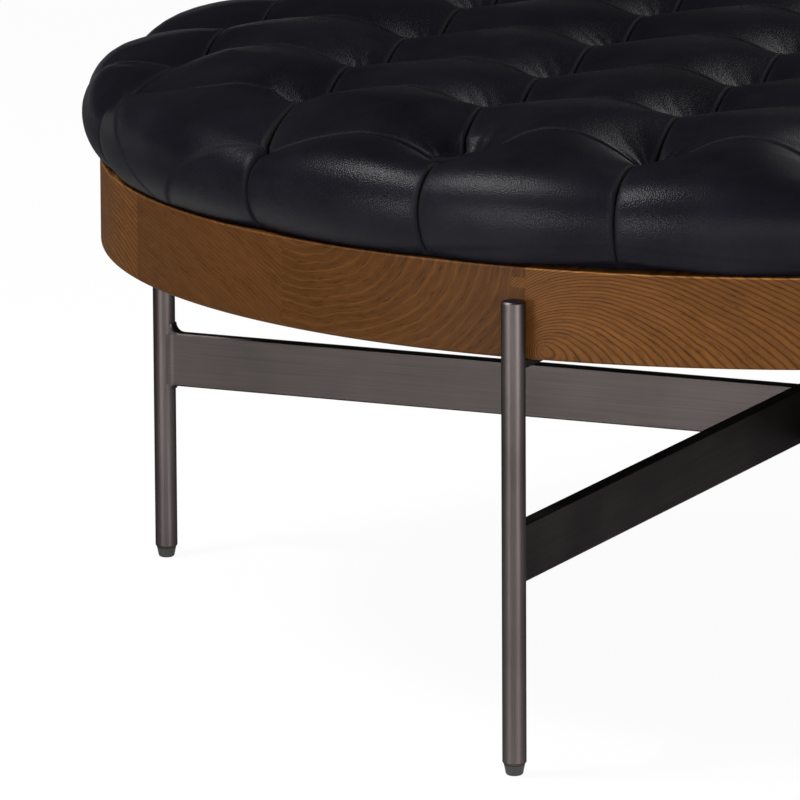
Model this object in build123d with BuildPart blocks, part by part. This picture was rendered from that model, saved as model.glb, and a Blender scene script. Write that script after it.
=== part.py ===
from build123d import *
import os
from math import asin, atan, cos, degrees, hypot, radians, sin, sqrt

# Round ottoman coffee table: a deep-tufted leather cushion on a hardwood hoop, carried by four steel legs
# with crossed bars. Millimetres, +Z up, the origin on the floor under the centre, the front leg at -Y.

# Hoop, glued up from curved blocks
rim_radius = 581.0
rim_width = 45.0
rim_height = 72.0
rim_top = 400.0
rim_lower_edge = 2.5
rim_upper_edge = 1.0
block_count = 16
finger_levels = 9
finger_length = 12.0

# Legs, round tubes that stand outside the hoop and touch it
leg_diameter = 19.0
leg_wall = 2.0
leg_drop = 25.0
toe_land = 0.55
toe_height = 2.4

# End plug at the top of each tube
plug_head = 3.0
plug_bevel = 1.2
plug_length = 45.0
plug_clearance = 0.1
plug_skin = 3.0

# Push-in glide at the bottom of each tube
foot_height = 8.5
foot_lip = 0.2
foot_taper = 1.15
foot_edge = 2.8
foot_spigot = 18.0

# Flat bars on edge between the legs
bar_bottom = 152.0
bar_height = 46.0
bar_thickness = 12.0
bar_edge = 1.2
weld_side = 12.0
weld_top = 8.0
weld_bottom = 3.5

# Tabs under the hoop
tab_length = 45.0
tab_width = 16.0
tab_thickness = 6.0
tab_corner = 4.0

# Bolt and washer that pull each leg against the hoop
bolt_diameter = 6.0
bolt_clearance = 0.3
bolt_end_gap = 0.6
bolt_head_diameter = 12.0
bolt_head_height = 4.0
bolt_socket = 4.0
bolt_socket_depth = 2.4
washer_diameter = 18.0
washer_thickness = 1.6

# Countersunk and pan-head wood screws
flat_head_diameter = 8.4
flat_head_height = 2.6
flat_screw_diameter = 4.2
tab_screw_share = 0.75
batten_screw_length = 45.0
pan_head_diameter = 8.0
pan_head_height = 2.4
pan_screw_diameter = 4.0
pan_screw_length = 14.0

# Cushion outline: margins are inwards from the hoop's edge or the cushion's base, rises are upwards
leather_thickness = 2.0
pad_margin = 3.5
pad_bulge = 18.5
pad_widest_rise = 39.0
shoulder_margin = 11.5
shoulder_rise = 40.0
crest_margin = 97.5
crest_rise = 20.0
crown_rise = 2.0

# Tufts on a square lattice with one tuft at the centre, and the pleats that run on down the sides
tuft_pitch = 160.0
tuft_turn = 7.9
tuft_depth = 37.0
pleat_start = 2.0
pleat_depths = (4.0, 8.0, 11.0)
pleat_widths = (5.0, 8.0, 11.0)

# Twine and the washers that it is tied to
twine_diameter = 2.5
twine_clearance = 0.3
twine_hole = 8.0
knot_diameter = 6.0
knot_height = 3.0
tuft_washer_diameter = 15.0
tuft_washer_thickness = 1.5

# Plywood deck, its battens, brackets, hem and dust cover
deck_thickness = 18.0
deck_clearance = 0.5
batten_width = 40.0
batten_depth = 40.0
batten_end_gap = 8.0
batten_row_share = 1.5
batten_screw_shares = (-0.42, -0.14, 0.14, 0.42)
bracket_count = 8
bracket_leaf = 24.0
bracket_width = 30.0
bracket_thickness = 3.0
bracket_screw_gap = 16.0
bracket_screw_inset = 12.0
bracket_screw_drop = 14.0
hem_reach = 18.0
hem_gap = 2.0
staple_crown = 10.0
staple_leg = 8.0
staple_wire = 0.7
staple_inset = 10.0
staple_turns = (-9.0, 0.0, 9.0)
dust_thickness = 0.8
dust_clearance = 0.3
overrun = 20.0

leg_turns = {"right": 0, "back": 90, "left": 180, "front": 270}
leg_count = len(leg_turns)
leg_radius = leg_diameter / 2
leg_bore = leg_radius - leg_wall
leg_circle = rim_radius + leg_radius
tube_top = rim_top - leg_drop - plug_head
rim_bottom = rim_top - rim_height
rim_inner = rim_radius - rim_width
block_turn = 360 / block_count
deck_bottom = rim_top + leather_thickness
deck_top = deck_bottom + deck_thickness
pad_base_radius = rim_radius - pad_margin
pad_widest_radius = pad_base_radius + pad_bulge
shoulder_radius = pad_base_radius - shoulder_margin
crest_radius = pad_base_radius - crest_margin
shoulder_height = pad_widest_rise + shoulder_rise
crest_height = shoulder_height + crest_rise
crown_height = crest_height + crown_rise
pit_height = crest_height - tuft_depth
deck_radius = pad_base_radius - leather_thickness - pleat_depths[0] - deck_clearance
batten_bottom = deck_bottom - batten_depth
batten_offset = batten_row_share * tuft_pitch
hem_inner = rim_inner - hem_reach
batten_length = 2 * (sqrt(hem_inner**2 - (batten_offset + batten_width / 2) ** 2) - batten_end_gap)
leg_axis = Axis((leg_circle, 0, 0), (0, 0, 1))
bolt_height = tube_top - plug_length / 2
bolt_hole = bolt_diameter / 2 + bolt_clearance
tapped_end = leg_circle + leg_bore - plug_clearance - plug_skin
washer_seat = sqrt(rim_inner**2 - (washer_diameter / 2) ** 2)
bracket_turns = [(number + 1 / 4) * 360 / bracket_count for number in range(bracket_count)]
tuft_limit = hem_inner - tuft_washer_diameter / 2 - hem_gap
tuft_grid = range(-int(tuft_limit / tuft_pitch), int(tuft_limit / tuft_pitch) + 1)
tufts = [(i, j) for i in tuft_grid for j in tuft_grid if hypot(i, j) * tuft_pitch <= tuft_limit]

os.makedirs("parts", exist_ok=True)


def lattice(points):
    """Places on the tuft lattice, given in pitches from the centre."""
    turn = Plane.XY.rotated((0, 0, tuft_turn))
    return [turn.from_local_coords(Vector(i * tuft_pitch, j * tuft_pitch)) for i, j in points]


# Leg tube, with its lower edge turned down to a small toe and a side hole for the bolt
with BuildPart() as tube:
    with BuildSketch(Plane.XZ):
        with BuildLine():
            Polyline(
                (leg_circle + leg_bore, foot_height),
                (leg_circle + leg_bore + toe_land, foot_height),
                (leg_circle + leg_radius, foot_height + toe_height),
                (leg_circle + leg_radius, tube_top),
                (leg_circle + leg_bore, tube_top),
                close=True,
            )
        make_face()
    revolve(axis=leg_axis)
    with BuildSketch(Plane.YZ.offset(leg_circle - leg_diameter)):
        with Locations((0, bolt_height)):
            Circle(bolt_hole)
    extrude(amount=leg_diameter, mode=Mode.SUBTRACT)

# End plug: a bevelled flat head and a spigot that is tapped for the bolt
with BuildPart() as plug:
    with BuildSketch(Plane.XY.offset(tube_top - plug_length)):
        with Locations((leg_circle, 0)):
            Circle(leg_bore - plug_clearance)
    extrude(amount=plug_length)
    with BuildSketch(Plane.XY.offset(tube_top)):
        with Locations((leg_circle, 0)):
            Circle(leg_radius)
    extrude(amount=plug_head)
    chamfer(plug.edges().group_by(Axis.Z)[-1], plug_bevel)
    with BuildSketch(Plane.YZ.offset(tapped_end)):
        with Locations((0, bolt_height)):
            Circle(bolt_diameter / 2)
    extrude(amount=-leg_diameter, mode=Mode.SUBTRACT)

# Push-in glide with a tapered body and a round lower edge
with BuildPart() as glide:
    with BuildSketch(Plane.XZ):
        with BuildLine():
            foot_top = leg_circle + leg_bore + toe_land + foot_lip
            foot_low = foot_top - foot_taper
            foot_spigot_side = leg_circle + leg_bore - plug_clearance
            Line((leg_circle, 0), (foot_low - foot_edge, 0))
            TangentArc((foot_low - foot_edge, 0), (foot_low, foot_edge), tangent=(1, 0))
            Polyline(
                (foot_low, foot_edge),
                (foot_top, foot_height),
                (foot_spigot_side, foot_height),
                (foot_spigot_side, foot_height + foot_spigot),
                (leg_circle, foot_height + foot_spigot),
                (leg_circle, 0),
            )
        make_face()
    revolve(axis=leg_axis)

# Flat tab, coped to the leg and screwed up into the hoop
tab_screw_radius = leg_circle - leg_radius - tab_length / 2
tab_screw_length = tab_thickness + tab_screw_share * (bolt_height - bolt_hole - rim_bottom)
with BuildPart() as tab_screw:
    with BuildSketch(Plane.XZ):
        with BuildLine():
            tab_screw_side = tab_screw_radius + flat_screw_diameter / 2
            tab_low = rim_bottom - tab_thickness
            Polyline(
                (tab_screw_radius, tab_low),
                (tab_screw_radius + flat_head_diameter / 2, tab_low),
                (tab_screw_side, tab_low + flat_head_height),
                (tab_screw_side, tab_low + tab_screw_length - flat_screw_diameter),
                (tab_screw_radius, tab_low + tab_screw_length),
                close=True,
            )
        make_face()
    revolve(axis=Axis((tab_screw_radius, 0, 0), (0, 0, 1)))

with BuildPart() as tab:
    with BuildSketch(Plane.XY.offset(rim_bottom - tab_thickness)) as tab_plan:
        with Locations((leg_circle - leg_radius - tab_length, 0)):
            Rectangle(tab_length + leg_radius, tab_width, align=(Align.MIN, Align.CENTER))
        fillet(tab_plan.vertices().group_by(Axis.X)[0], tab_corner)
        with Locations((leg_circle, 0)):
            Circle(leg_radius, mode=Mode.SUBTRACT)
    extrude(amount=tab_thickness)
    add(tab_screw.part, mode=Mode.SUBTRACT)

# One leg set of tube, plug, glide and tab at each quarter of the hoop
for side, turn in leg_turns.items():
    with BuildPart() as leg:
        add(tube.part, rotation=(0, 0, turn))
    leg.part.label = f"leg_{side}"
    export_step(leg.part, f"parts/leg_{side}.step")

    with BuildPart() as leg_plug:
        add(plug.part, rotation=(0, 0, turn))
    leg_plug.part.label = f"leg_plug_{side}"
    export_step(leg_plug.part, f"parts/leg_plug_{side}.step")

    with BuildPart() as foot:
        add(glide.part, rotation=(0, 0, turn))
    foot.part.label = f"foot_{side}"
    export_step(foot.part, f"parts/foot_{side}.step")

    with BuildPart() as rim_tab:
        add(tab.part, rotation=(0, 0, turn))
    rim_tab.part.label = f"rim_tab_{side}"
    export_step(rim_tab.part, f"parts/rim_tab_{side}.step")

with BuildPart() as tab_screws:
    with PolarLocations(0, leg_count):
        add(tab_screw.part)
tab_screws.part.label = "tab_screws"
export_step(tab_screws.part, "parts/tab_screws.step")

# Long bar between the left and right legs, with its welds dressed to round fillets
bar_top = bar_bottom + bar_height
leg_face = leg_circle - leg_radius
with BuildPart() as cross_bar_long:
    with BuildSketch(Plane.XZ):
        with BuildLine():
            Line((0, bar_bottom), (leg_face - weld_bottom, bar_bottom))
            lower = TangentArc(
                (leg_face - weld_bottom, bar_bottom), (leg_face, bar_bottom - weld_bottom), tangent=(1, 0)
            )
            Polyline(
                lower @ 1,
                (leg_circle, bar_bottom - weld_bottom),
                (leg_circle, bar_top + weld_top),
                (leg_face, bar_top + weld_top),
            )
            upper = TangentArc(
                (leg_face, bar_top + weld_top), (leg_face - weld_top, bar_top), tangent=(0, -1)
            )
            Line(upper @ 1, (0, bar_top))
            mirror(about=Plane.YZ)
        make_face()
    extrude(amount=bar_thickness / 2, both=True)
    long_edges = cross_bar_long.edges().filter_by(Axis.X).filter_by(lambda edge: edge.length > leg_circle)
    chamfer(long_edges, bar_edge)
    with BuildSketch(Plane.XY.offset(bar_bottom + bar_edge)) as bar_plan:
        Rectangle(2 * leg_circle, bar_thickness)
        with Locations((leg_circle, 0), (-leg_circle, 0)):
            Circle(leg_radius)
        weld_corners = bar_plan.vertices().group_by(Axis.Y)
        fillet(weld_corners[0] + weld_corners[-1], weld_side)
    extrude(amount=bar_height - 2 * bar_edge)
    with BuildSketch(Plane.XY.offset(bar_bottom - overrun)):
        with Locations((leg_circle, 0), (-leg_circle, 0)):
            Circle(leg_radius)
    extrude(amount=bar_height + 2 * overrun, mode=Mode.SUBTRACT)
cross_bar_long.part.label = "cross_bar_long"
export_step(cross_bar_long.part, "parts/cross_bar_long.step")

# Half bars from the front and back legs, butt-welded to the long bar at the centre
for side in ("front", "back"):
    with BuildPart() as cross_bar:
        with BuildSketch(Plane.XY.offset(bar_bottom)):
            with Locations((bar_thickness / 2, 0)):
                Rectangle(leg_circle - bar_thickness / 2, bar_thickness, align=(Align.MIN, Align.CENTER))
        extrude(amount=bar_height)
        chamfer(cross_bar.edges().filter_by(Axis.X), bar_edge)
        with BuildSketch(Plane.XY.offset(bar_bottom - overrun)):
            with Locations((leg_circle, 0)):
                Circle(leg_radius)
        extrude(amount=bar_height + 2 * overrun, mode=Mode.SUBTRACT)
    with BuildPart() as cross_bar_half:
        add(cross_bar.part, rotation=(0, 0, leg_turns[side]))
    cross_bar_half.part.label = f"cross_bar_{side}"
    export_step(cross_bar_half.part, f"parts/cross_bar_{side}.step")

# Washers inside the hoop and the socket-head bolts that pass through it into the plugs
with BuildPart() as washer:
    with BuildSketch(Plane.YZ.offset(washer_seat - washer_thickness)):
        with Locations((0, bolt_height)):
            Circle(washer_diameter / 2)
            Circle(bolt_hole, mode=Mode.SUBTRACT)
    extrude(amount=washer_thickness)

with BuildPart() as leg_washers:
    with PolarLocations(0, leg_count):
        add(washer.part)
leg_washers.part.label = "leg_washers"
export_step(leg_washers.part, "parts/leg_washers.step")

with BuildPart() as bolt:
    head_face = washer_seat - washer_thickness - bolt_head_height
    with BuildSketch(Plane.YZ.offset(head_face)):
        with Locations((0, bolt_height)):
            Circle(bolt_head_diameter / 2)
    extrude(amount=bolt_head_height)
    with BuildSketch(Plane.YZ.offset(head_face + bolt_head_height)):
        with Locations((0, bolt_height)):
            Circle(bolt_diameter / 2)
    extrude(amount=tapped_end - bolt_end_gap - head_face - bolt_head_height)
    with BuildSketch(Plane.YZ.offset(head_face)):
        with Locations((0, bolt_height)):
            RegularPolygon(bolt_socket / 2, side_count=6, major_radius=False)
    extrude(amount=bolt_socket_depth, mode=Mode.SUBTRACT)

with BuildPart() as leg_bolts:
    with PolarLocations(0, leg_count):
        add(bolt.part)
leg_bolts.part.label = "leg_bolts"
export_step(leg_bolts.part, "parts/leg_bolts.step")

# Pan-head screw, standing on its head at the origin
with BuildPart() as pan_screw:
    with BuildSketch(Plane.XZ):
        with BuildLine():
            Polyline(
                (0, -pan_head_height),
                (pan_head_diameter / 2 - pan_head_height / 3, -pan_head_height),
                (pan_head_diameter / 2, -pan_head_height / 3),
                (pan_head_diameter / 2, 0),
                (pan_screw_diameter / 2, 0),
                (pan_screw_diameter / 2, pan_screw_length - pan_screw_diameter),
                (0, pan_screw_length),
                close=True,
            )
        make_face()
    revolve(axis=Axis.Z)

# Four screws a bracket: two out into the hoop and two up through the hem into the deck
leaf_face = rim_inner - bracket_thickness
leaf_screw_radius = sqrt(leaf_face**2 - (bracket_screw_gap / 2 + pan_head_diameter / 2) ** 2)
bracket_screw_places = []
for across in (-bracket_screw_gap / 2, bracket_screw_gap / 2):
    outwards = (leaf_screw_radius, across, rim_top - bracket_screw_drop)
    upwards = (rim_inner - bracket_screw_inset, across, rim_top - bracket_thickness)
    bracket_screw_places += [Location(outwards, (0, 90, 0)), Location(upwards)]

with BuildPart() as bracket_screw_set:
    with Locations(*bracket_screw_places):
        add(pan_screw.part)

with BuildPart() as bracket_screws:
    with Locations(*[Location((0, 0, 0), (0, 0, turn)) for turn in bracket_turns]):
        add(bracket_screw_set.part)
bracket_screws.part.label = "bracket_screws"
export_step(bracket_screws.part, "parts/bracket_screws.step")

# Steel angle brackets, curved to the inside of the hoop
with BuildPart() as angle:
    bracket_half_turn = degrees(bracket_width / 2 / rim_inner)
    with BuildSketch(Plane.XZ.rotated((0, 0, -bracket_half_turn))):
        with BuildLine():
            Polyline(
                (rim_inner, rim_top),
                (rim_inner - bracket_leaf, rim_top),
                (rim_inner - bracket_leaf, rim_top - bracket_thickness),
                (rim_inner - bracket_thickness, rim_top - bracket_thickness),
                (rim_inner - bracket_thickness, rim_top - bracket_leaf),
                (rim_inner, rim_top - bracket_leaf),
                close=True,
            )
        make_face()
    revolve(axis=Axis.Z, revolution_arc=2 * bracket_half_turn)
    add(bracket_screw_set.part, mode=Mode.SUBTRACT)

for number, turn in enumerate(bracket_turns, start=1):
    with BuildPart() as deck_bracket:
        add(angle.part, rotation=(0, 0, turn))
    deck_bracket.part.label = f"deck_bracket_{number}"
    export_step(deck_bracket.part, f"parts/deck_bracket_{number}.step")

# The whole hoop with its holes, before it is parted into blocks
with BuildPart() as hoop:
    with BuildSketch(Plane.XZ) as hoop_section:
        with Locations((rim_inner, rim_bottom)):
            Rectangle(rim_width, rim_height, align=(Align.MIN, Align.MIN))
        fillet(hoop_section.vertices().group_by(Axis.Y)[0], rim_lower_edge)
        fillet(hoop_section.vertices().group_by(Axis.Y)[-1].sort_by(Axis.X)[-1], rim_upper_edge)
    revolve(axis=Axis.Z)
    for turn in leg_turns.values():
        with BuildSketch(Plane.YZ.rotated((0, 0, turn)).offset(rim_inner - overrun)):
            with Locations((0, bolt_height)):
                Circle(bolt_hole)
        extrude(amount=rim_width + 2 * overrun, mode=Mode.SUBTRACT)
    add(tab_screws.part, mode=Mode.SUBTRACT)
    add(bracket_screws.part, mode=Mode.SUBTRACT)

# Curved hoop blocks, finger-jointed behind the legs and butt-glued between them
finger_height = rim_height / finger_levels
finger_turn = degrees(finger_length / 2 / rim_radius)
for number in range(block_count):
    first, last = number * block_turn, (number + 1) * block_turn
    first_fingers = finger_turn if first % 90 == 0 else 0
    last_fingers = finger_turn if last % 90 == 0 else 0
    with BuildPart() as cell:
        for step, way in ((0, 1), (1, -1)):
            levels = range(step, finger_levels, 2)
            with BuildSketch(*[Plane.XY.offset(rim_bottom + level * finger_height) for level in levels]):
                with BuildLine():
                    start, end = radians(first + way * first_fingers), radians(last + way * last_fingers)
                    reach = rim_radius + overrun
                    Polyline(
                        (0, 0),
                        (reach * cos(start), reach * sin(start)),
                        (reach * cos(end), reach * sin(end)),
                        close=True,
                    )
                make_face()
            extrude(amount=finger_height)
    with BuildPart() as rim_block:
        add(hoop.part)
        add(cell.part, mode=Mode.INTERSECT)
    rim_block.part.label = f"rim_block_{number + 1:02d}"
    export_step(rim_block.part, f"parts/rim_block_{number + 1:02d}.step")

# Twine of each tuft, with its knot, and the washer under the deck that it is tied to
washer_bottom = deck_bottom - tuft_washer_thickness
with BuildPart() as tuft_cords:
    with BuildSketch(Plane.XY.offset(washer_bottom)):
        with Locations(*lattice(tufts)):
            Circle(twine_diameter / 2)
    extrude(amount=rim_top + pit_height - leather_thickness - washer_bottom)
    with BuildSketch(Plane.XY.offset(washer_bottom)):
        with Locations(*lattice(tufts)):
            Circle(knot_diameter / 2)
    extrude(amount=-knot_height)
tuft_cords.part.label = "tuft_cords"
export_step(tuft_cords.part, "parts/tuft_cords.step")

with BuildPart() as tuft_washers:
    with BuildSketch(Plane.XY.offset(washer_bottom)):
        with Locations(*lattice(tufts)):
            Circle(tuft_washer_diameter / 2)
            Circle(twine_diameter / 2 + twine_clearance, mode=Mode.SUBTRACT)
    extrude(amount=tuft_washer_thickness)
tuft_washers.part.label = "tuft_washers"
export_step(tuft_washers.part, "parts/tuft_washers.step")

# Battens under the deck, and the long screws that come down into them
batten_rows = {"left": -batten_row_share, "right": batten_row_share}
batten_screw_rows = []
for side, row in batten_rows.items():
    with BuildPart() as deck_batten:
        with BuildSketch(Plane.XY.offset(batten_bottom)):
            with Locations(*lattice([(row, 0)])):
                Rectangle(batten_width, batten_length, rotation=tuft_turn)
        extrude(amount=batten_depth)
        batten_rack = [(row, share * batten_length / tuft_pitch) for share in batten_screw_shares]
        batten_screw_rows += lattice(batten_rack)
        with BuildSketch(Plane.XY.offset(deck_bottom)):
            with Locations(*lattice(batten_rack)):
                Circle(flat_screw_diameter / 2)
        extrude(amount=deck_thickness - batten_screw_length, mode=Mode.SUBTRACT)
    deck_batten.part.label = f"deck_batten_{side}"
    export_step(deck_batten.part, f"parts/deck_batten_{side}.step")

flat_head_slope = degrees(atan((flat_head_diameter - flat_screw_diameter) / 2 / flat_head_height))
with BuildPart() as batten_screws:
    with BuildSketch(Plane.XY.offset(deck_top)):
        with Locations(*batten_screw_rows):
            Circle(flat_screw_diameter / 2)
    extrude(amount=-batten_screw_length)
    with BuildSketch(Plane.XY.offset(deck_top)):
        with Locations(*batten_screw_rows):
            Circle(flat_head_diameter / 2)
    extrude(amount=-flat_head_height, taper=flat_head_slope)
batten_screws.part.label = "batten_screws"
export_step(batten_screws.part, "parts/batten_screws.step")

# Wire staples that hold the hem under the deck, in rows between the brackets
with BuildPart() as staple:
    staple_radius = rim_inner - staple_inset
    with BuildSketch(Plane.YZ.offset(staple_radius)):
        with Locations((0, rim_top - staple_wire)):
            Rectangle(staple_crown, staple_wire + staple_leg, align=(Align.CENTER, Align.MIN))
        with Locations((0, rim_top)):
            inside = staple_crown - 2 * staple_wire
            Rectangle(inside, staple_leg, align=(Align.CENTER, Align.MIN), mode=Mode.SUBTRACT)
    extrude(amount=staple_wire / 2, both=True)

with BuildPart() as hem_staples:
    middles = [turn + 180 / bracket_count for turn in bracket_turns]
    rows = [middle + side for middle in middles for side in staple_turns]
    with Locations(*[Location((0, 0, 0), (0, 0, turn)) for turn in rows]):
        add(staple.part)
hem_staples.part.label = "hem_staples"
export_step(hem_staples.part, "parts/hem_staples.step")

# Plywood deck, drilled for the twine and pierced by its fasteners
with BuildPart() as deck:
    with BuildSketch(Plane.XY.offset(deck_bottom)):
        Circle(deck_radius)
        with Locations(*lattice(tufts)):
            Circle(twine_hole / 2, mode=Mode.SUBTRACT)
    extrude(amount=deck_thickness)
    add(batten_screws.part, mode=Mode.SUBTRACT)
    add(bracket_screws.part, mode=Mode.SUBTRACT)
    add(hem_staples.part, mode=Mode.SUBTRACT)
deck.part.label = "deck"
export_step(deck.part, "parts/deck.step")

# Black cloth stapled under the battens
with BuildPart() as dust_cover:
    with BuildSketch(Plane.XY.offset(batten_bottom)):
        Circle(rim_inner - dust_clearance)
    extrude(amount=-dust_thickness)
dust_cover.part.label = "dust_cover"
export_step(dust_cover.part, "parts/dust_cover.step")

# Well around one tuft: an inverted vault of four curved faces, with its creases along the lattice lines
well_half = tuft_pitch / sqrt(2)
with BuildPart() as well:
    for plane, mode in ((Plane.XZ, Mode.ADD), (Plane.YZ, Mode.INTERSECT)):
        with BuildSketch(plane):
            with BuildLine():
                TangentArc((well_half, crest_height), (0, pit_height), tangent=(-1, 0))
                TangentArc((-well_half, crest_height), (0, pit_height), tangent=(1, 0))
                Polyline(
                    (well_half, crest_height),
                    (well_half, crest_height + overrun),
                    (-well_half, crest_height + overrun),
                    (-well_half, crest_height),
                )
            make_face()
        extrude(amount=well_half, both=True, mode=mode)


def pleat(inset):
    """Groove down the side of the cushion where a line of tufts runs out over the edge."""
    radii = (pad_base_radius, pad_widest_radius, shoulder_radius)
    heights = (-pleat_start, pad_widest_rise, shoulder_height)
    with BuildPart() as groove:
        for radius, height, depth, width in zip(radii, heights, pleat_depths, pleat_widths):
            with BuildSketch(Plane.XY.offset(rim_top + height)):
                half = width / 2 * (1 + overrun / depth)
                outside = radius + overrun
                Polygon((radius - depth - inset, 0), (outside, half), (outside, -half), align=None)
        loft(ruled=True)
    return groove.part


def tufted_form(inset):
    """The cushion's round crowned body with its wells and pleats, drawn in by an even inset."""
    base = (pad_base_radius - inset, rim_top + inset)
    widest = (pad_widest_radius - inset, rim_top + pad_widest_rise)
    shoulder = (shoulder_radius - inset, rim_top + shoulder_height - inset)
    crest = (crest_radius - inset, rim_top + crest_height - inset)
    crown = (0, rim_top + crown_height - inset)
    with BuildPart() as body:
        with BuildSketch(Plane.XZ):
            with BuildLine():
                Line((0, rim_top + inset), base)
                TangentArc(widest, base, tangent=(0, -1))
                side = TangentArc(widest, shoulder, tangent=(0, 1))
                TangentArc(shoulder, crest, tangent=side % 1)
                TangentArc(crown, crest, tangent=(1, 0))
                Line(crown, (0, rim_top + inset))
            make_face()
        revolve(axis=Axis.Z)
        for batch in range(4):
            members = [(i, j) for i, j in tufts if i % 2 + 2 * (j % 2) == batch]
            with Locations(*[Location(place + Vector(0, 0, rim_top - inset)) for place in lattice(members)]):
                add(well.part, rotation=(0, 0, tuft_turn + 45), mode=Mode.SUBTRACT)
        lines = [i * tuft_pitch for i in tuft_grid if abs(i) * tuft_pitch <= pad_base_radius / sqrt(2)]
        leans = [degrees(asin(line / pad_base_radius)) for line in lines]
        turns = [tuft_turn + 90 * quarter + lean for quarter in range(4) for lean in leans]
        with Locations(*[Location((0, 0, 0), (0, 0, turn)) for turn in turns]):
            add(pleat(inset), mode=Mode.SUBTRACT)
    return body.part


outside_form = tufted_form(0)
inside_form = tufted_form(leather_thickness)

# Leather cover: a shell over the foam, with its hem turned in between the deck and the hoop
with BuildPart() as leather_cover:
    add(outside_form)
    add(inside_form, mode=Mode.SUBTRACT)
    with BuildSketch(Plane.XY.offset(rim_top)):
        Circle(hem_inner)
    extrude(amount=leather_thickness, mode=Mode.SUBTRACT)
    add(bracket_screws.part, mode=Mode.SUBTRACT)
    add(hem_staples.part, mode=Mode.SUBTRACT)
leather_cover.part.label = "leather_cover"
export_step(leather_cover.part, "parts/leather_cover.step")

# Seat foam that fills the cover, wraps the edge of the deck and is pierced by the twine
with BuildPart() as foam_core:
    add(inside_form)
    with BuildSketch(Plane.XY.offset(deck_bottom)):
        Circle(deck_radius)
    extrude(amount=deck_thickness, mode=Mode.SUBTRACT)
    with BuildSketch(Plane.XY.offset(deck_top)):
        with Locations(*lattice(tufts)):
            Circle(twine_diameter / 2 + twine_clearance)
    extrude(amount=pit_height, mode=Mode.SUBTRACT)
foam_core.part.label = "foam_core"
export_step(foam_core.part, "parts/foam_core.step")
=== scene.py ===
# A round tufted ottoman coffee table, put together from the floor up: welded steel legs and
# cross bars, a glued hardwood hoop, the plywood deck inside it and the leather seat on top.
import math

import bmesh
import bpy
import numpy as np
from mathutils import Matrix, Vector


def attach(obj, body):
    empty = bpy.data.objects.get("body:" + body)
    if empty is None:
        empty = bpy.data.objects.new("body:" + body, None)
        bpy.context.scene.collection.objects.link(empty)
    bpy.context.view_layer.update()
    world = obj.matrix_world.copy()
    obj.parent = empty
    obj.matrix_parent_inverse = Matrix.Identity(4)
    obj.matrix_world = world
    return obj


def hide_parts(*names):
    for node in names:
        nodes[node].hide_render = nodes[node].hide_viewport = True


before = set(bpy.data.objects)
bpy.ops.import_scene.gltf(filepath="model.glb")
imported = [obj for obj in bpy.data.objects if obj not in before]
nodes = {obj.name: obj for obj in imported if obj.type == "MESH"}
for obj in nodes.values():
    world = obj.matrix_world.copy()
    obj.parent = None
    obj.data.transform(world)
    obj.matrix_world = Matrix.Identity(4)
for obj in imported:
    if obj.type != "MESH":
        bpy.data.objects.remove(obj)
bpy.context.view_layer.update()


# Legs: four round steel tubes with a turned plug pressed into the top. The steel is blackened
# to a gunmetal finish and brushed along the tube before it is lacquered.
def new_finish(name):
    """A fresh material with its node tree, its principled shader and its object coordinates."""
    finish = bpy.data.materials.new(name)
    finish.use_nodes = True
    tree = finish.node_tree
    shader = tree.nodes["Principled BSDF"]
    place = tree.nodes.new("ShaderNodeTexCoord")
    return finish, tree, shader, place.outputs["Object"]


def stretched(tree, place, scale, turn=(0, 0, 0)):
    """The object coordinates, turned and then squeezed by a scale along each axis."""
    mapping = tree.nodes.new("ShaderNodeMapping")
    mapping.inputs["Rotation"].default_value = turn
    mapping.inputs["Scale"].default_value = scale
    tree.links.new(place, mapping.inputs["Vector"])
    return mapping.outputs["Vector"]


def noise(tree, vector, scale, detail=3, roughness=0.5, layer=None):
    """A noise texture's plain value, drawn out along the surfaces on which layer stays the same."""
    texture = tree.nodes.new("ShaderNodeTexNoise")
    if layer:
        texture.noise_dimensions = "4D"
        tree.links.new(layer, texture.inputs["W"])
    texture.inputs["Scale"].default_value = scale
    texture.inputs["Detail"].default_value = detail
    texture.inputs["Roughness"].default_value = roughness
    tree.links.new(vector, texture.inputs["Vector"])
    return texture.outputs["Fac"]


def tones(tree, value, stops):
    """A colour ramp through (position, colour) stops."""
    ramp = tree.nodes.new("ShaderNodeValToRGB")
    while len(ramp.color_ramp.elements) < len(stops):
        ramp.color_ramp.elements.new(0.5)
    for element, (position, colour) in zip(ramp.color_ramp.elements, stops):
        element.position = position
        element.color = (*colour, 1)
    tree.links.new(value, ramp.inputs["Fac"])
    return ramp.outputs["Color"]


def ranged(tree, value, low, high, start=0, end=1):
    """A value stretched from start..end to low..high."""
    node = tree.nodes.new("ShaderNodeMapRange")
    node.inputs["From Min"].default_value = start
    node.inputs["From Max"].default_value = end
    node.inputs["To Min"].default_value = low
    node.inputs["To Max"].default_value = high
    tree.links.new(value, node.inputs["Value"])
    return node.outputs["Result"]


def stained(tree, under, over):
    """One colour laid over another, as a stain is."""
    mixed = tree.nodes.new("ShaderNodeMix")
    mixed.data_type = "RGBA"
    mixed.blend_type = "MULTIPLY"
    mixed.inputs["Factor"].default_value = 1
    tree.links.new(under, mixed.inputs["A"])
    tree.links.new(over, mixed.inputs["B"])
    return mixed.outputs["Result"]


def raised(tree, shader, height, strength, distance):
    """A bump on the shader's normal."""
    bump = tree.nodes.new("ShaderNodeBump")
    bump.inputs["Strength"].default_value = strength
    bump.inputs["Distance"].default_value = distance
    tree.links.new(height, bump.inputs["Height"])
    tree.links.new(bump.outputs["Normal"], shader.inputs["Normal"])


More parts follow.
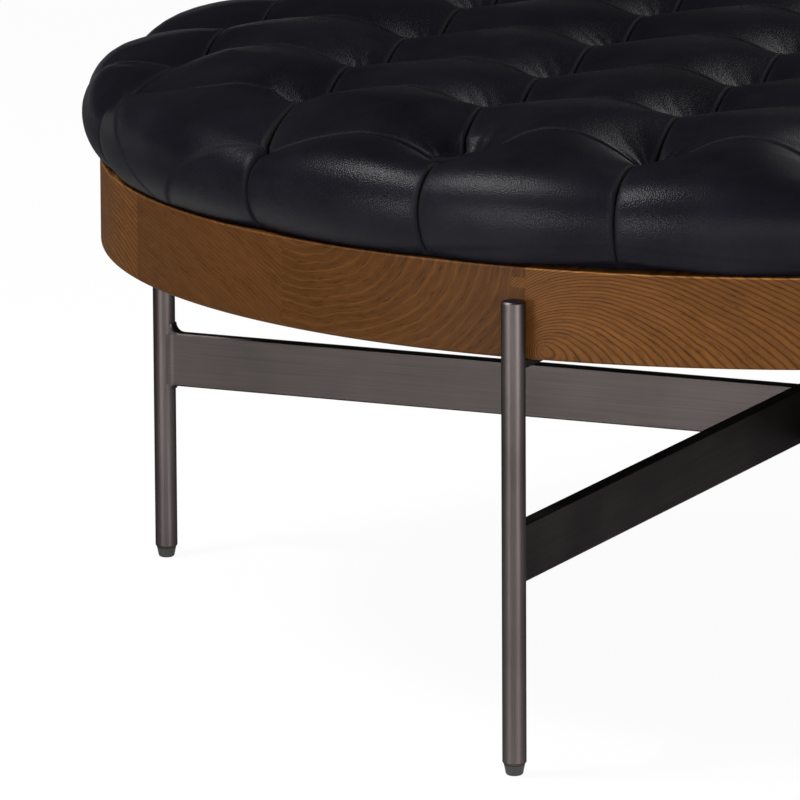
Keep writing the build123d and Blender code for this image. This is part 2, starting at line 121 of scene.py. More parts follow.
def brushed_gunmetal(name, brush, tone):
    """Blackened steel with fine brush lines along the axis that brush squeezes least."""
    finish, tree, shader, place = new_finish(name)
    lines = noise(tree, stretched(tree, place, brush), 1, 4, 0.6)
    clouds = noise(tree, place, 9)
    deep = [tone * part for part in (0.062, 0.052, 0.050)]
    pale = [tone * part for part in (0.084, 0.072, 0.069)]
    colour = tones(tree, lines, [(0.25, deep), (0.75, pale)])
    patches = tones(tree, clouds, [(0.3, (0.80, 0.80, 0.80)), (0.7, (1.15, 1.15, 1.15))])
    tree.links.new(stained(tree, colour, patches), shader.inputs["Base Color"])
    tree.links.new(ranged(tree, clouds, 0.36, 0.48), shader.inputs["Roughness"])
    shader.inputs["Metallic"].default_value = 1
    shader.inputs["Specular Tint"].default_value = (0.38, 0.40, 0.41, 1)
    raised(tree, shader, lines, 0.25, 0.0002)
    return finish


def dress(finish, *names):
    """Gives a finish to the nodes that carry these names or start with them."""
    for name, node in nodes.items():
        if name.startswith(names):
            for place in node.material_slots:
                place.material = finish
            if not node.material_slots:
                node.data.materials.append(finish)


across_brush, along_brush = 900, 12
leg_gunmetal = brushed_gunmetal("leg_gunmetal", (across_brush, across_brush, along_brush), 1)
dress(leg_gunmetal, "leg_front", "leg_back", "leg_left", "leg_right")
dress(brushed_gunmetal("plug_gunmetal", (500, 500, 500), 1), "leg_plug")

# Feet: black moulded glides pushed into the tubes. The plastic has a fine speckle, and its
# lower edge stands on the floor.
foot_plastic, tree, shader, place = new_finish("foot_plastic")
speckle = noise(tree, place, 900, 2)
tree.links.new(ranged(tree, speckle, 0.45, 0.6), shader.inputs["Roughness"])
shader.inputs["Base Color"].default_value = (0.010, 0.010, 0.010, 1)
raised(tree, shader, speckle, 0.2, 0.0001)
dress(foot_plastic, "foot_")

# Cross bars and rim tabs: flat bar on edge, welded to the tubes, brushed along its length and
# blackened a little darker than the legs.
along_bar, bar_tone = 9, 0.66
long_bar_gunmetal = brushed_gunmetal("long_bar_gunmetal", (along_bar, across_brush, across_brush), bar_tone)
dress(long_bar_gunmetal, "cross_bar_long", "rim_tab_left", "rim_tab_right")
short_bar_gunmetal = brushed_gunmetal("short_bar_gunmetal", (across_brush, along_bar, across_brush), bar_tone)
dress(short_bar_gunmetal, "cross_bar_front", "cross_bar_back", "rim_tab_front", "rim_tab_back")

# Screws, bolts, washers and staples: zinc-plated steel, with the small cloudy patches that
# bright zinc has.
zinc, tree, shader, place = new_finish("zinc_plate")
patches = noise(tree, place, 400)
zinc_tones = tones(tree, patches, [(0.3, (0.42, 0.43, 0.45)), (0.7, (0.62, 0.63, 0.65))])
tree.links.new(zinc_tones, shader.inputs["Base Color"])
tree.links.new(ranged(tree, patches, 0.25, 0.5), shader.inputs["Roughness"])
shader.inputs["Metallic"].default_value = 1
raised(tree, shader, patches, 0.1, 0.0001)
dress(zinc, "leg_bolts", "leg_washers", "tab_screws", "batten_screws", "bracket_screws", "hem_staples", "tuft_washers")


# Hoop: sixteen curved blocks of stained hardwood, sawn from thick boards and finger jointed end
# to end. Each block shows its own growth rings where the round face cuts through the board.
def reckoned(tree, operation, first, second=0.0, kind="ShaderNodeMath"):
    """A sum, product or other reckoning of two sockets, or of a socket and a plain value."""
    node = tree.nodes.new(kind)
    node.operation = operation
    for socket, value in zip(node.inputs, (first, second)):
        if isinstance(value, bpy.types.NodeSocket):
            tree.links.new(value, socket)
        elif socket.enabled:
            socket.default_value = value
    return next(socket for socket in node.outputs if socket.enabled)


def ring_wood(name, pith, grain, sweep, spacing, colour, figure, edge_wear_and_highlight):
    """Stained wood whose years run round a line through pith along grain, drawn out along sweep."""
    finish, tree, shader, place = new_finish(name)
    offset = reckoned(tree, "SUBTRACT", place, pith, "ShaderNodeVectorMath")
    length = math.sqrt(sum(part * part for part in grain))
    heart = [part / length for part in grain]
    across = reckoned(tree, "CROSS_PRODUCT", offset, heart, "ShaderNodeVectorMath")
    reach = reckoned(tree, "LENGTH", across, kind="ShaderNodeVectorMath")
    pulled = reckoned(tree, "DOT_PRODUCT", offset, sweep, "ShaderNodeVectorMath")
    straight = reckoned(tree, "SUBTRACT", reach, pulled)
    # The years wander by part of their own spacing, widely and in a fine ripple.
    drift = ranged(tree, noise(tree, offset, 13, 2), -0.7 * spacing, 0.7 * spacing)
    ripple = ranged(tree, noise(tree, offset, 60), -0.22 * spacing, 0.22 * spacing)
    bent = reckoned(tree, "ADD", reckoned(tree, "ADD", straight, drift), ripple)
    years = reckoned(tree, "FRACT", reckoned(tree, "DIVIDE", bent, spacing))
    rings = tones(tree, years, [(stop, [share * part for part in colour]) for stop, share in figure])
    uneven = noise(tree, place, 20, 2, 0.5, reckoned(tree, "MULTIPLY", bent, 12))
    cloudy = tones(tree, uneven, [(0.3, (0.86, 0.84, 0.82)), (0.7, (1.08, 1.08, 1.08))])
    fibres = noise(tree, place, 75, 4, 0.7, reckoned(tree, "MULTIPLY", bent, 10))
    pore_stops = [(0.33, (0.50, 0.46, 0.42)), (0.43, (0.92, 0.92, 0.92)), (0.68, (1.16, 1.16, 1.16))]
    grained = stained(tree, stained(tree, rings, cloudy), tones(tree, fibres, pore_stops))
    # The top edge is painted paler: partly wear on the stain, and partly a painted highlight that stands in for the lit
    # arris under the seat.
    height = tree.nodes.new("ShaderNodeSeparateXYZ")
    tree.links.new(place, height.inputs[0])
    at_top = ranged(tree, height.outputs["Z"], 0, edge_wear_and_highlight, 0.3984, 0.3992)
    grain_tone_and_edge_highlight = reckoned(tree, "MULTIPLY", at_top, ranged(tree, uneven, 0.6, 1))
    edge = tones(tree, grain_tone_and_edge_highlight, [(0, (1, 1, 1)), (1, (3.2, 3.6, 4.2))])
    tree.links.new(stained(tree, grained, edge), shader.inputs["Base Color"])
    tree.links.new(ranged(tree, fibres, 0.40, 0.54), shader.inputs["Roughness"])
    shader.inputs["Specular IOR Level"].default_value = 0.05
    raised(tree, shader, fibres, 0.3, 0.0002)
    return finish


# Each block's pith: its azimuth in degrees and height, how far the grain slants along the hoop and
# upwards, how far the years are drawn out down the hoop, their spacing, and how light the board is.
boards = {
    10: (205, 0.250, 6.0, 0.1, 0, 0.0042, 0.97),
    11: (220, -0.100, 0.0, 0.0, 0, 0.0034, 0.67),
    12: (249, 0.415, 2.0, 0.0, 0, 0.0066, 0.65),
    13: (271.87, 0.337, 0.0, 0.0, 0.74, 0.0031, 1.05),
}
# How light a year is from its start to its end: with dark late wood, or with a pale line there.
dark_years = [(0.0, 0.40), (0.17, 0.97), (0.45, 1.12), (0.80, 1.03), (1.0, 0.40)]
pale_years = [(0.0, 1.34), (0.10, 1.04), (0.40, 0.90), (0.88, 0.98), (1.0, 1.34)]
brown_stain = (0.074, 0.0282, 0.0066)
block_count = 16
block_turn = 360 / block_count
hoop_radius, hoop_middle = 0.581, 0.364
sweep_slope = math.radians(30)
rng = np.random.default_rng(11)
for number in range(1, block_count + 1):
    middle = (number - 0.5) * block_turn
    side = 1 if rng.random() < 0.5 else -1
    drawn = (
        middle + rng.uniform(-11, 11),
        hoop_middle + side * rng.uniform(0.03, 0.11),
        rng.uniform(1.2, 5.0),
        rng.uniform(-0.3, 0.3),
        0,
        rng.uniform(0.0030, 0.0066),
        rng.uniform(0.80, 1.15),
    )
    azimuth, height, slant, climb, drawn_out, spacing, lightness = boards.get(number, drawn)
    around = math.radians(azimuth)
    facing = np.array([math.cos(around), math.sin(around), 0])
    along = np.array([-math.sin(around), math.cos(around), 0])
    upward = np.array([0, 0, 1])
    pith = tuple(facing * hoop_radius + upward * height)
    grain = tuple(facing + along * slant + upward * climb)
    sweep = tuple(drawn_out * (along * math.cos(sweep_slope) - upward * math.sin(sweep_slope)))
    colour = [lightness * part for part in brown_stain]
    figure = pale_years if number in (11, 12) else dark_years
    # Boards 10 to 12 get less of the paler top edge: its painted highlight is weakened there as painted shade on the
    # side that is lit less.
    edge_wear_and_highlight = 0.4 if number in (10, 11, 12) else 1
    finish = ring_wood(f"hoop_wood_{number:02d}", pith, grain, sweep, spacing, colour, figure, edge_wear_and_highlight)
    dress(finish, f"rim_block_{number:02d}")

# Deck, battens and brackets: birch plywood and softwood inside the hoop, left bare, and zinc-plated
# angle brackets. Their names begin like the deck's, so they are dressed after it.
plywood, tree, shader, place = new_finish("bare_plywood")
strands = noise(tree, stretched(tree, place, (12, 180, 180)), 1, 4, 0.6)
ply_tones = tones(tree, strands, [(0.3, (0.42, 0.30, 0.18)), (0.7, (0.58, 0.44, 0.29))])
tree.links.new(ply_tones, shader.inputs["Base Color"])
tree.links.new(ranged(tree, strands, 0.55, 0.75), shader.inputs["Roughness"])
raised(tree, shader, strands, 0.3, 0.0003)
dress(plywood, "deck")
dress(zinc, "deck_bracket")


# Dust cover: thin black spun-bonded cloth, stapled flat under the battens inside the hoop. Its
# bonding points show as small dots.
def dotted(tree, place, scale):
    """How far each point is from the middle of its cell, in small irregular cells."""
    cells = tree.nodes.new("ShaderNodeTexVoronoi")
    cells.inputs["Scale"].default_value = scale
    tree.links.new(place, cells.inputs["Vector"])
    return cells.outputs["Distance"]


black_cloth, tree, shader, place = new_finish("black_cloth")
dots = dotted(tree, place, 700)
cloth_tones = tones(tree, dots, [(0.1, (0.016, 0.016, 0.017)), (0.6, (0.028, 0.028, 0.030))])
tree.links.new(cloth_tones, shader.inputs["Base Color"])
shader.inputs["Roughness"].default_value = 0.9
raised(tree, shader, dots, 0.4, 0.0003)
dress(black_cloth, "dust_cover")

# Tufting twine: waxed nylon that pulls each tuft down through the foam and ties under the deck.
# The twist of its strands shows as a fine relief.
twine, tree, shader, place = new_finish("tufting_twine")
twist = noise(tree, stretched(tree, place, (900, 900, 300)), 1)
twine_tones = tones(tree, twist, [(0.3, (0.30, 0.27, 0.22)), (0.7, (0.48, 0.44, 0.37))])
tree.links.new(twine_tones, shader.inputs["Base Color"])
shader.inputs["Roughness"].default_value = 0.7
raised(tree, shader, twist, 0.4, 0.0004)
dress(twine, "tuft_cords")

# Seat: black leather over foam, pulled down at thirty-seven tufts and folded between them, with
# twenty pleats down its sides. It is made flat on the cutter's grid and then laid over the pad.
pitch = 0.160
tuft_turn = math.radians(7.9)
rim_top = 0.400
# The pad's outline, as radius and height above the hoop.
base, widest, shoulder, crest, crown = (0.5775, 0.0), (0.596, 0.039), (0.566, 0.079), (0.480, 0.099), (0.0, 0.101)


def swung(vector, angle):
    """A flat vector turned by an angle."""
    cosine, sine = math.cos(angle), math.sin(angle)
    return np.array([vector[0] * cosine - vector[1] * sine, vector[0] * sine + vector[1] * cosine])


def arc_points(start, heading, end, count):
    """Points along the arc that leaves start along heading and reaches end, and its last heading."""
    start, heading, end = np.array(start), np.array(heading) / np.linalg.norm(heading), np.array(end)
    side = np.array([-heading[1], heading[0]])
    chord = end - start
    bend = chord @ chord / (2 * chord @ side)
    centre = start + side * bend
    sweep = 2 * math.atan2(chord @ side, chord @ heading)
    points = np.stack([centre + swung(start - centre, angle) for angle in np.linspace(0, sweep, count)])
    return points, swung(heading, sweep)


side_rise, shoulder_heading = arc_points(widest, (0, 1), shoulder, 40)
over_shoulder, _ = arc_points(shoulder, shoulder_heading, crest, 60)
top, _ = arc_points(crown, (1, 0), crest, 80)
under_side, _ = arc_points(widest, (0, -1), base, 40)
hem = np.array([(0.5765, 0.0), (0.560, 0.0)])
outline = np.concatenate([top[:-1], over_shoulder[::-1][:-1], side_rise[::-1][:-1], under_side, hem])
outline_length = np.concatenate([[0], np.cumsum(np.hypot(*np.diff(outline, axis=0).T))])
heading = np.gradient(outline, outline_length, axis=0)
heading /= np.linalg.norm(heading, axis=1)[:, None]
outward = np.stack([-heading[:, 1], heading[:, 0]], axis=1)
base_length = outline_length[len(outline) - len(hem) - 1]
hem_length = outline_length[-1]

# Where each fold line reaches the base: straight down, but for one that leans as sewn.
fold_lines = [(side, i) for side in range(-2, 2) for i in range(-2, 3)]
fold_sides = np.array([side for side, i in fold_lines]) * math.pi / 2
fold_steps = np.array([i for side, i in fold_lines]) * pitch
base_azimuth = np.array([side * math.pi / 2 + math.asin(i * pitch / base[0]) for side, i in fold_lines])
base_azimuth[fold_lines.index((-2, 2))] -= math.radians(4.7)
side_start, side_run = 0.52, 0.06


def settled_azimuth(azimuth, length):
    """Turns places beyond the shoulder so that the fold lines run straight down the side."""
    turned = azimuth.copy()
    for index in np.flatnonzero(length > side_start):
        reach = max(length[index], base[0])
        now = fold_sides + np.arcsin(fold_steps / reach)
        share = min(1, (length[index] - side_start) / side_run)
        target = now + (base_azimuth - now) * share
        wrapped_now = np.concatenate([[now[-1] - 2 * math.pi], now, [now[0] + 2 * math.pi]])
        wrapped_target = np.concatenate([[target[-1] - 2 * math.pi], target, [target[0] + 2 * math.pi]])
        angle = (azimuth[index] - now[0]) % (2 * math.pi) + now[0]
        turned[index] = np.interp(angle, wrapped_now, wrapped_target)
    return turned


def lay(u, v, depth):
    """Points of the leather: flat grid places laid over the pad's outline and drawn in by depth."""
    length = np.minimum(np.hypot(u, v), hem_length)
    azimuth = settled_azimuth(np.arctan2(v, u), length) + tuft_turn
    radius = np.interp(length, outline_length, outline[:, 0])
    height = np.interp(length, outline_length, outline[:, 1])
    lean = np.interp(length, outline_length, outward[:, 0])
    rise = np.interp(length, outline_length, outward[:, 1])
    radius = radius - lean * depth
    height = height - rise * depth
    return np.stack([radius * np.cos(azimuth), radius * np.sin(azimuth), rim_top + height], axis=1)


def eased(value):
    """A smooth step from 0 to 1."""
    value = np.clip(value, 0, 1)
    return value * value * (3 - 2 * value)


crease_share, crease_width, pillow_power = 0.34, 0.0007, 2.2


def groove(distance):
    """How deep a fold is at a distance from its line, from 1 on the line to 0 at the pillow's middle."""
    distance = np.abs(distance)
    wide = np.clip(1 - distance / (pitch / 2), 0, 1) ** pillow_power
    return crease_share * np.exp(-distance / crease_width) + (1 - crease_share) * wide


def lines_there(step, along, ease):
    """Where a fold line of this step runs: all the way to step 2, and between the tufts at step 3."""
    last = 1 - eased((np.abs(along) - 2 * pitch) / ease)
    return np.where(np.abs(step) <= 2, 1, np.where(np.abs(step) == 3, last, 0))


def tuft_places(u, v):
    """The step of the nearest tuft along each side, and how far each place is from it."""
    i, j = np.round(u / pitch), np.round(v / pitch)
    return i, j, u - i * pitch, v - j * pitch


tuft_pull, corner_pull, pit_power = 0.026, 0.004, 1.8
sag_depth, sag_spread = 0.0055, 0.075
lip_height, lip_offset, lip_width = 0.0011, 0.0020, 0.0013


def fold_depth(u, v):
    """How far tufts and folds draw the leather in at each flat place."""
    length = np.hypot(u, v)
    i, j, p, q = tuft_places(u, v)
    stops = [0, 0.44, 0.52, 0.575, 0.63, base_length, base_length + 0.004]
    fade = np.interp(length, stops, [0.0085, 0.0085, 0.0105, 0.009, 0.0065, 0.004, 0])
    dish = 0.005 * eased((0.46 - length) / 0.16)
    upright, level = lines_there(i, v, 0.005), lines_there(j, u, 0.005)
    depth = dish + fade * (1.35 * upright * groove(p) + level * groove(q))
    # Tufts at the front are pulled hardest, and those at the left least.
    pit = np.clip(1 - np.hypot(p, q) / (pitch / 2), 0, 1) ** pit_power
    tug = np.where((i == -1) & (j <= -2), 1.4, np.where(j <= -2, 1.2, np.where(i <= -3, 0.7, 1)))
    from_middle = i * i + j * j
    pull = np.where(from_middle <= 10, tuft_pull, np.where(from_middle == 13, corner_pull, 0))
    depth += pit * tug * pull
    # One pad at the left has sagged, and no pit goes below the ends of the twine.
    depth += sag_depth * np.exp(-((u + 0.570) ** 2 + (v + 0.022) ** 2) / sag_spread**2)
    depth = np.minimum(depth, np.interp(length, [0.475, 0.506], [0.0365, 0.0315]))
    lip = lip_height * np.exp(-(((p + lip_offset) / lip_width) ** 2)) * upright
    lip += lip_height * np.exp(-(((q - lip_offset) / lip_width) ** 2)) * level
    return depth - lip * np.interp(length, [0, base_length, base_length + 0.003], [1, 0.6, 0])


# The cutter's grid reaches this many steps each way. Its lines are packed close at the folds.
grid_steps = 4.25


def grid_places(count):
    """Grid lines packed close at the fold lines and wider across the pillows."""
    steps = np.linspace(-grid_steps, grid_steps, count)
    nearest = np.round(steps)
    across = (steps - nearest) * 2
    return (nearest + np.sign(across) * np.abs(across) ** 2.1 / 2) * pitch


# The stuffing: the leather starts slack and is blown up against its tufts, folds and hem, which
# are held. What the pillows gain by it is kept as a cloth grid and added to the finished leather.
cloth_steps = 170
stuffing_frames = 20
slack_share, slack_depth, most_gain = 1.04, 0.002, 0.008
swell = np.zeros((cloth_steps + 1, cloth_steps + 1, 3))
slack = bmesh.new()
bmesh.ops.create_grid(slack, x_segments=cloth_steps, y_segments=cloth_steps, size=grid_steps * pitch)
held = np.array([vertex.co[:2] for vertex in slack.verts])
u, v = held[:, 0], held[:, 1]
length = np.hypot(u, v)
start = lay(u, v, fold_depth(u, v) * slack_share + slack_depth)
for vertex, point in zip(slack.verts, start):
    vertex.co = point
far = {vertex for vertex, reach in zip(slack.verts, length) if reach > hem_length}
cut_off = [face for face in slack.faces if far.issuperset(face.verts)]
bmesh.ops.delete(slack, geom=cut_off, context="FACES_ONLY")
slack_mesh = bpy.data.meshes.new("slack_leather")
slack.to_mesh(slack_mesh)
slack.free()
slack_leather = bpy.data.objects.new("slack_leather", slack_mesh)
bpy.context.collection.objects.link(slack_leather)
# Folds are held 5 mm to each side, tufts 14 mm round, and the hem from 12 mm above the base.
pins = slack_leather.vertex_groups.new(name="pins")
i, j, p, q = tuft_places(u, v)
between = 2.1 * pitch
across_fold = (np.abs(p) < 0.005) & ((np.abs(i) <= 2) | ((np.abs(i) == 3) & (np.abs(v) < between)))
along_fold = (np.abs(q) < 0.005) & ((np.abs(j) <= 2) | ((np.abs(j) == 3) & (np.abs(u) < between)))
fixed = across_fold | along_fold | (length > base_length - 0.012)
fixed |= (np.hypot(p, q) < 0.014) & (i * i + j * j <= 13)
pins.add(np.flatnonzero(fixed).tolist(), 1, "REPLACE")
stuffing = slack_leather.modifiers.new("stuffing", "CLOTH")
stuffing.settings.quality = 6
stuffing.settings.mass = 0.4
stuffing.settings.tension_stiffness = 12
stuffing.settings.compression_stiffness = 12
stuffing.settings.shear_stiffness = 6
stuffing.settings.bending_stiffness = 2
stuffing.settings.use_pressure = True
stuffing.settings.uniform_pressure_force = 4
stuffing.settings.vertex_group_mass = "pins"
stuffing.settings.effector_weights.gravity = 0
stuffing.collision_settings.use_self_collision = False
stuffing.point_cache.frame_start = 1
stuffing.point_cache.frame_end = stuffing_frames
for step in range(1, stuffing_frames + 1):
    bpy.context.scene.frame_set(step)
blown = slack_leather.evaluated_get(bpy.context.evaluated_depsgraph_get()).to_mesh()
gain = np.array([vertex.co for vertex in blown.vertices]) - start
moved = np.linalg.norm(gain, axis=1)[:, None]
gain *= np.minimum(1, most_gain / np.maximum(moved, 1e-9))
column = np.rint((u / (grid_steps * pitch) + 1) / 2 * cloth_steps).astype(int)
row = np.rint((v / (grid_steps * pitch) + 1) / 2 * cloth_steps).astype(int)
swell[column, row] = gain
bpy.context.scene.frame_set(1)
bpy.data.objects.remove(slack_leather)


def swollen(u, v):
    """The cloth grid's gain at flat places between its points."""
    x = np.clip((u / (grid_steps * pitch) + 1) / 2 * cloth_steps, 0, cloth_steps - 1e-6)
    y = np.clip((v / (grid_steps * pitch) + 1) / 2 * cloth_steps, 0, cloth_steps - 1e-6)
    left, low = x.astype(int), y.astype(int)
    a, b = (x - left)[:, None], (y - low)[:, None]
    lower = swell[left, low] * (1 - a) + swell[left + 1, low] * a
    upper = swell[left, low + 1] * (1 - a) + swell[left + 1, low + 1] * a
    return lower * (1 - b) + upper * b


# The leather itself: the grid is cut round at the hem and laid over the pad with its folds.
segments = 306
matt_width = 0.0035
leather = bmesh.new()
bmesh.ops.create_grid(leather, x_segments=segments, y_segments=segments, size=1)
places = grid_places(segments + 1)
flat = np.array([vertex.co[:2] for vertex in leather.verts])
column = np.rint((flat[:, 0] + 1) / 2 * segments).astype(int)
row = np.rint((flat[:, 1] + 1) / 2 * segments).astype(int)
u, v = places[column], places[row]
for vertex, x, y in zip(leather.verts, u, v):
    vertex.co = (x, y, 0)
outside = {vertex for vertex, reach in zip(leather.verts, np.hypot(u, v)) if reach > hem_length}
cut_off = [face for face in leather.faces if outside.issuperset(face.verts)]
bmesh.ops.delete(leather, geom=cut_off, context="FACES")
u = np.array([vertex.co.x for vertex in leather.verts])
v = np.array([vertex.co.y for vertex in leather.verts])
_, _, p, q = tuft_places(u, v)
from_line = np.minimum(np.abs(p), np.abs(q))
inside_fold = leather.verts.layers.float.new("inside_fold")
for vertex, point, apart in zip(leather.verts, lay(u, v, fold_depth(u, v)) + swollen(u, v), from_line):
    vertex.co = point
    vertex[inside_fold] = math.exp(-((apart / matt_width) ** 2))


def drawn_on(edges):
    """The edges that come from pulling these edges of the leather on."""
    made = bmesh.ops.extrude_edge_only(leather, edges=edges)["geom"]
    return [item for item in made if isinstance(item, bmesh.types.BMEdge)]


# The hem turns under the deck, and the closed inside lies on the deck's edge and top.
deck_top = 0.4205
edge = [item for item in leather.edges if item.is_boundary]
for radius, height in ((0.518, 0.400), (0.518, 0.4018), (0.5715, 0.4018), (0.5715, deck_top), (0.3, deck_top)):
    edge = drawn_on(edge)
    for vertex in {vertex for item in edge for vertex in item.verts}:
        scale = radius / math.hypot(vertex.co.x, vertex.co.y)
        vertex.co = (vertex.co.x * scale, vertex.co.y * scale, height)
    edge = [item for item in edge if item.is_boundary]
middle = {vertex for item in drawn_on(edge) for vertex in item.verts}
bmesh.ops.pointmerge(leather, verts=list(middle), merge_co=(0, 0, deck_top))
bmesh.ops.recalc_face_normals(leather, faces=leather.faces)
for face in leather.faces:
    face.smooth = True
mesh = bpy.data.meshes.new("seat_cushion")
leather.to_mesh(mesh)
leather.free()
seat_cushion = bpy.data.objects.new("seat_cushion", mesh)
bpy.context.collection.objects.link(seat_cushion)

# Its finish: nearly black with a blue cast, clouded where it is handled, with a fine pebble.
black_leather, tree, shader, place = new_finish("black_leather")
grain = dotted(tree, place, 800)
clouding = noise(tree, place, 11, 5, 0.6)
hide_stops = [(0.3, (0.0024, 0.0023, 0.0037)), (0.5, (0.0037, 0.0035, 0.0054)), (0.7, (0.0056, 0.0053, 0.0078))]
grain_tone_and_edge_highlight = tones(tree, grain, [(0.1, (0.80, 0.80, 0.80)), (0.7, (1.18, 1.18, 1.18))])
tree.links.new(stained(tree, tones(tree, clouding, hide_stops), grain_tone_and_edge_highlight), shader.inputs["Base Color"])
# The folds stay matt, where nothing rubs the leather.
fold = tree.nodes.new("ShaderNodeAttribute")
fold.attribute_name = "inside_fold"
matt = reckoned(tree, "MULTIPLY", fold.outputs["Fac"], 0.42)
tree.links.new(reckoned(tree, "ADD", ranged(tree, clouding, 0.28, 0.40), matt), shader.inputs["Roughness"])
shader.inputs["Specular IOR Level"].default_value = 0.075
# Small gathers run out from each tuft, where the leather is drawn together.
gather_count = 15
half = (0.5, 0.5, 0.5)
lattice = stretched(tree, place, (1 / pitch, 1 / pitch, 0), (0, 0, -tuft_turn))
centred = reckoned(tree, "ADD", lattice, half, "ShaderNodeVectorMath")
cell = reckoned(tree, "FRACTION", centred, kind="ShaderNodeVectorMath")
from_tuft = reckoned(tree, "SUBTRACT", cell, half, "ShaderNodeVectorMath")
parts = tree.nodes.new("ShaderNodeSeparateXYZ")
tree.links.new(from_tuft, parts.inputs[0])
bearing = reckoned(tree, "ARCTAN2", parts.outputs["Y"], parts.outputs["X"])
waver = ranged(tree, noise(tree, place, 22, 2), -5, 5)
wave = reckoned(tree, "ADD", reckoned(tree, "MULTIPLY", bearing, gather_count), waver)
gathers = reckoned(tree, "SINE", wave)
distance = reckoned(tree, "LENGTH", from_tuft, kind="ShaderNodeVectorMath")
close_by = ranged(tree, distance, 1, 0, 0.16, 0.42)
near = reckoned(tree, "MULTIPLY", close_by, ranged(tree, clouding, 0, 1, 0.35, 0.65))
# They stop at the shoulder, where the lattice no longer matches the tufts.
level_place = reckoned(tree, "MULTIPLY", place, (1, 1, 0), "ShaderNodeVectorMath")
inward = reckoned(tree, "LENGTH", level_place, kind="ShaderNodeVectorMath")
near = reckoned(tree, "MULTIPLY", near, ranged(tree, inward, 1, 0, 0.52, 0.55))
folds = reckoned(tree, "MULTIPLY", gathers, near)
relief = reckoned(tree, "ADD", folds, reckoned(tree, "MULTIPLY", grain, 0.8))
raised(tree, shader, relief, 0.45, 0.0005)
mesh.materials.append(black_leather)
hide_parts("leather_cover", "foam_core")
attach(seat_cushion, "root")


# Floor: a plain pale sheet, on which the table's soft shadow falls. The camera sees it nearly
# white. Reflections see a painted pool of light glowing on it in front of the table, and a dim glow further out.
def looked_at(tree):
    """Whether a ray comes from the camera, straight or through glass, and whether it is mirrored."""
    path = tree.nodes.new("ShaderNodeLightPath").outputs
    return reckoned(tree, "MAXIMUM", path["Is Camera Ray"], path["Is Transmission Ray"]), path["Is Glossy Ray"]


def blended(tree, share, first, second):
    """One shader that goes over into another by a share."""
    mix = tree.nodes.new("ShaderNodeMixShader")
    for socket, source in zip(mix.inputs, (share, first, second)):
        tree.links.new(source, socket)
    return mix.outputs["Shader"]


floor_mesh = bpy.data.meshes.new("pale_floor")
sheet = bmesh.new()
bmesh.ops.create_grid(sheet, x_segments=1, y_segments=1, size=12)
sheet.to_mesh(floor_mesh)
sheet.free()
pale_floor = bpy.data.objects.new("pale_floor", floor_mesh)
bpy.context.collection.objects.link(pale_floor)
paper, tree, shader, place = new_finish("pale_paper")
shader.inputs["Base Color"].default_value = (0.85, 0.85, 0.85, 1)
shader.inputs["Roughness"].default_value = 0.9
glow = tree.nodes.new("ShaderNodeEmission")
direct, mirrored = looked_at(tree)
# The painted pool of light: for mirrored rays the floor glows at full strength within 1.3 m of this spot, fading to
# 0.12 beyond 2.1 m.
bright_spot = (0.50, -1.09, 0)
from_spot = reckoned(tree, "DISTANCE", place, bright_spot, "ShaderNodeVectorMath")
painted_light_pool = ranged(tree, from_spot, 1.0, 0.12, 1.3, 2.1)
tree.links.new(reckoned(tree, "MAXIMUM", direct, painted_light_pool), glow.inputs["Strength"])
glowing = reckoned(tree, "MULTIPLY", reckoned(tree, "MAXIMUM", direct, mirrored), 0.95)
surface = blended(tree, glowing, shader.outputs["BSDF"], glow.outputs["Emission"])
tree.links.new(surface, tree.nodes["Material Output"].inputs["Surface"])
floor_mesh.materials.append(paper)

# Light: a soft even fill and five lamp boxes. The camera sees a white room, and reflections find
# it white at the level of the floor and dim above.
world = bpy.data.worlds.new("studio")
world.use_nodes = True
bpy.context.scene.world = world
tree = world.node_tree
direct, mirrored = looked_at(tree)
backgrounds = [tree.nodes["Background"], tree.nodes.new("ShaderNodeBackground"), tree.nodes.new("ShaderNodeBackground")]
for background, strength in zip(backgrounds, (0.42, 1, 0.03)):
    background.inputs["Color"].default_value = (1, 1, 1, 1)
    background.inputs["Strength"].default_value = strength
fill, room, ceiling = [background.outputs["Background"] for background in backgrounds]
direction = tree.nodes.new("ShaderNodeTexCoord")
upwards = tree.nodes.new("ShaderNodeSeparateXYZ")
tree.links.new(direction.outputs["Generated"], upwards.inputs[0])
above = ranged(tree, upwards.outputs["Z"], 0, 1, -0.02, 0.03)
surroundings = blended(tree, reckoned(tree, "MAXIMUM", direct, mirrored), fill, room)
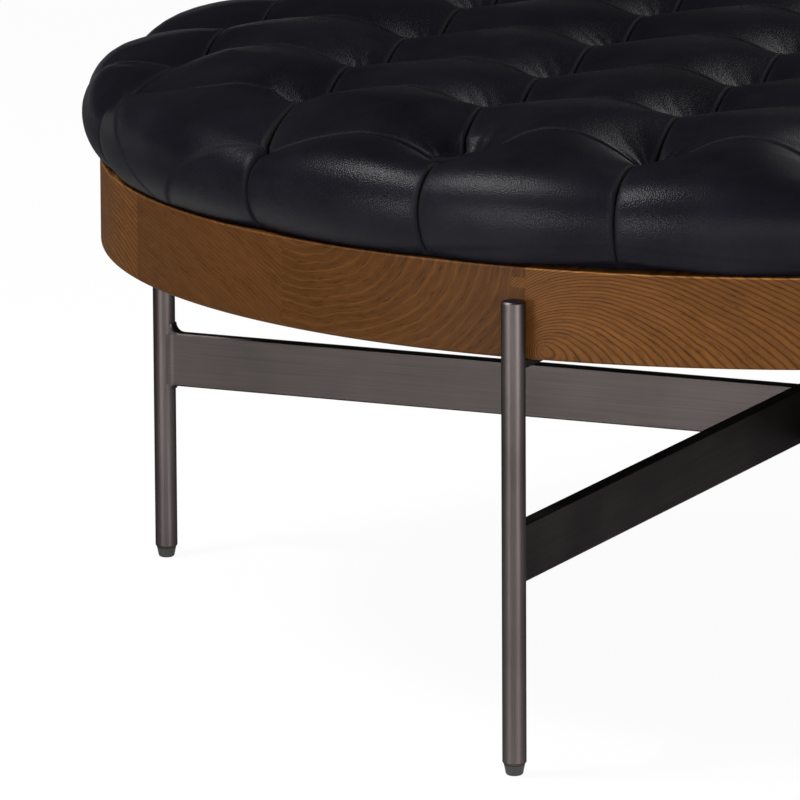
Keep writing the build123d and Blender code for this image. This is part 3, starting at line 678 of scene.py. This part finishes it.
dimmed = blended(tree, reckoned(tree, "MULTIPLY", above, mirrored), surroundings, ceiling)
tree.links.new(dimmed, tree.nodes["World Output"].inputs["Surface"])


def soft_lamp(name, azimuth, elevation, distance, width, height, watts):
    """A lamp box round the object, facing the seat."""
    light = bpy.data.lights.new(name, "AREA")
    light.shape = "RECTANGLE"
    light.size = width
    light.size_y = height
    light.energy = watts
    lamp = bpy.data.objects.new(name, light)
    bpy.context.collection.objects.link(lamp)
    around, above = math.radians(azimuth), math.radians(elevation)
    aim = Vector((math.cos(around) * math.cos(above), math.sin(around) * math.cos(above), math.sin(above)))
    lamp.location = Vector((0, 0, 0.45)) + aim * distance
    lamp.rotation_euler = aim.to_track_quat("Z", "Y").to_euler()


soft_lamp("key_lamp", -135, 47, 3.0, 0.8, 0.6, 95)
soft_lamp("low_left_lamp", -109, -1.6, 4.0, 1.0, 0.66, 78)
soft_lamp("front_lamp", -70, -1.6, 4.0, 1.4, 0.66, 26)
soft_lamp("low_right_lamp", -33, -1.6, 4.0, 1.0, 0.66, 96)
soft_lamp("back_lamp", 70, 40, 3.2, 1.6, 1.0, 34)

# Camera: a long lens from the front, a little above the seat, as in the photograph. It is held
# almost level and looks down by less than twelve degrees.
lens = bpy.data.cameras.new("camera")
lens.lens = 402.97
lens.sensor_width = 36
lens.clip_end = 100
camera = bpy.data.objects.new("camera", lens)
bpy.context.collection.objects.link(camera)
yaw, dip, roll = math.radians(24.721), math.radians(11.638), math.radians(-0.316)
right = np.array([math.cos(yaw), math.sin(yaw), 0])
forward = np.array([-math.sin(yaw) * math.cos(dip), math.cos(yaw) * math.cos(dip), -math.sin(dip)])
up = np.cross(right, forward)
level_right = right * math.cos(roll) + up * math.sin(roll)
level_up = -right * math.sin(roll) + up * math.cos(roll)
stand = np.array([2.7465, -6.7650, 1.6896])
rows = [[level_right[n], level_up[n], -forward[n], stand[n]] for n in range(3)]
camera.matrix_world = Matrix(rows + [[0, 0, 0, 1]])
bpy.context.scene.camera = camera
bpy.context.scene.view_settings.view_transform = "Standard"
